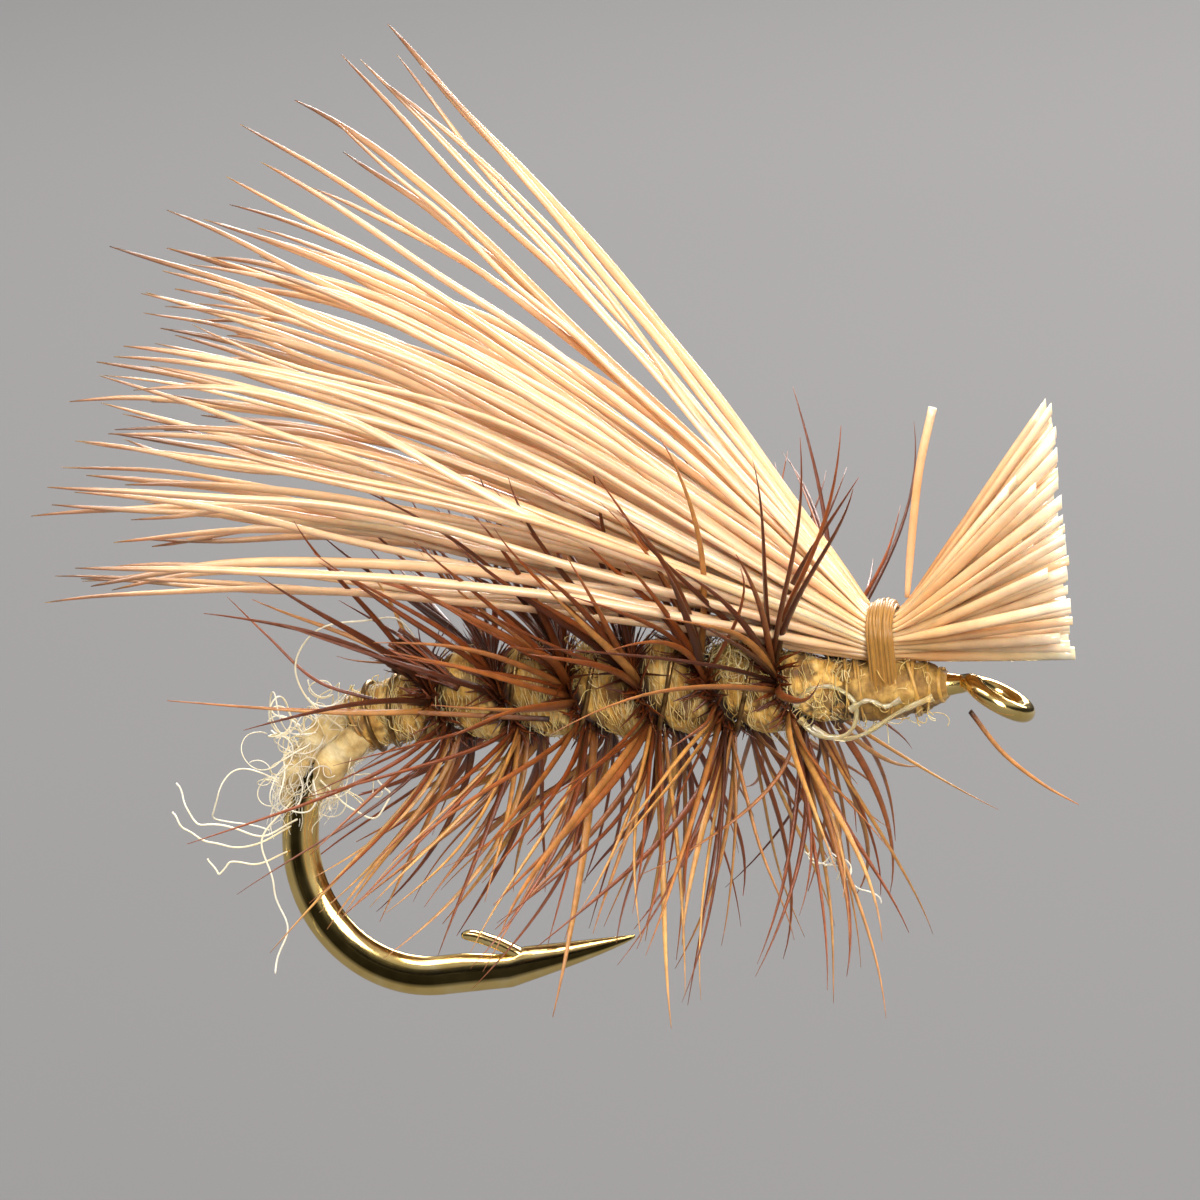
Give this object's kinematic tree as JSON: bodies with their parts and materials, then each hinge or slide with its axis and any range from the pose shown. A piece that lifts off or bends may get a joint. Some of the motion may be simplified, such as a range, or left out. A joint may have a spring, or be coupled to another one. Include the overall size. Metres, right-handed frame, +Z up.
{
  "type": "dry fly",
  "caption": "Dry fly on a down-eyed barbed hook, with a dubbed body, a palmered brown hackle and a flared pale hair wing with trimmed butts.",
  "frame": {"origin": "centre of the hook's eye, where the leader is tied", "axes": "+X along the hook's shank from the bend towards the eye, +Z up away from the hook's point, so that the hook lies in the XZ plane and the wing lies above it"},
  "size_m": [0.0143, 0.01, 0.0138],
  "materials": {
    "hook_wire": "bright bronzed wire",
    "tying_thread": "waxed gold-tan thread",
    "coated_thread": "thread wetted with clear cement, glossy",
    "dubbing": "matt yellow-olive fur dubbing with loose fibres",
    "rib_wire": "fine dark gold wire",
    "hackle": "glossy translucent mahogany feather",
    "elk_hair": "satin pale hair"
  },
  "bodies": {
    "root": {"dubbed_body": "dubbing", "elk_hair_01": "elk_hair", "elk_hair_02": "elk_hair", "elk_hair_03": "elk_hair", "elk_hair_04": "elk_hair", "elk_hair_05": "elk_hair", "elk_hair_06": "elk_hair", "elk_hair_07": "elk_hair", "elk_hair_08": "elk_hair", "elk_hair_09": "elk_hair", "elk_hair_10": "elk_hair", "elk_hair_11": "elk_hair", "elk_hair_12": "elk_hair", "elk_hair_13": "elk_hair", "elk_hair_14": "elk_hair", "elk_hair_15": "elk_hair", "elk_hair_16": "elk_hair", "elk_hair_17": "elk_hair", "elk_hair_18": "elk_hair", "elk_hair_19": "elk_hair", "elk_hair_20": "elk_hair", "elk_hair_21": "elk_hair", "elk_hair_22": "elk_hair", "elk_hair_23": "elk_hair", "elk_hair_24": "elk_hair", "elk_hair_25": "elk_hair", "elk_hair_26": "elk_hair", "elk_hair_27": "elk_hair", "elk_hair_28": "elk_hair", "elk_hair_29": "elk_hair", "elk_hair_30": "elk_hair", "elk_hair_31": "elk_hair", "elk_hair_32": "elk_hair", "elk_hair_33": "elk_hair", "elk_hair_34": "elk_hair", "elk_hair_35": "elk_hair", "elk_hair_36": "elk_hair", "elk_hair_37": "elk_hair", "elk_hair_38": "elk_hair", "elk_hair_39": "elk_hair", "elk_hair_40": "elk_hair", "hackle_tip_stub": "hackle", "hackle_turn_1": "hackle", "hackle_turn_2": "hackle", "hackle_turn_3": "hackle", "hackle_turn_4": "hackle", "hackle_turn_5": "hackle", "hackle_turn_6": "hackle", "head_wraps": "tying_thread", "hook": "hook_wire", "rib_wire": "rib_wire", "stray_butt_hair": "elk_hair", "tail_dubbing": "dubbing", "thread_foundation": "tying_thread", "thread_loop_1": "coated_thread", "thread_loop_2": "coated_thread", "wing_band": "tying_thread"}
  },
  "joints": []
}
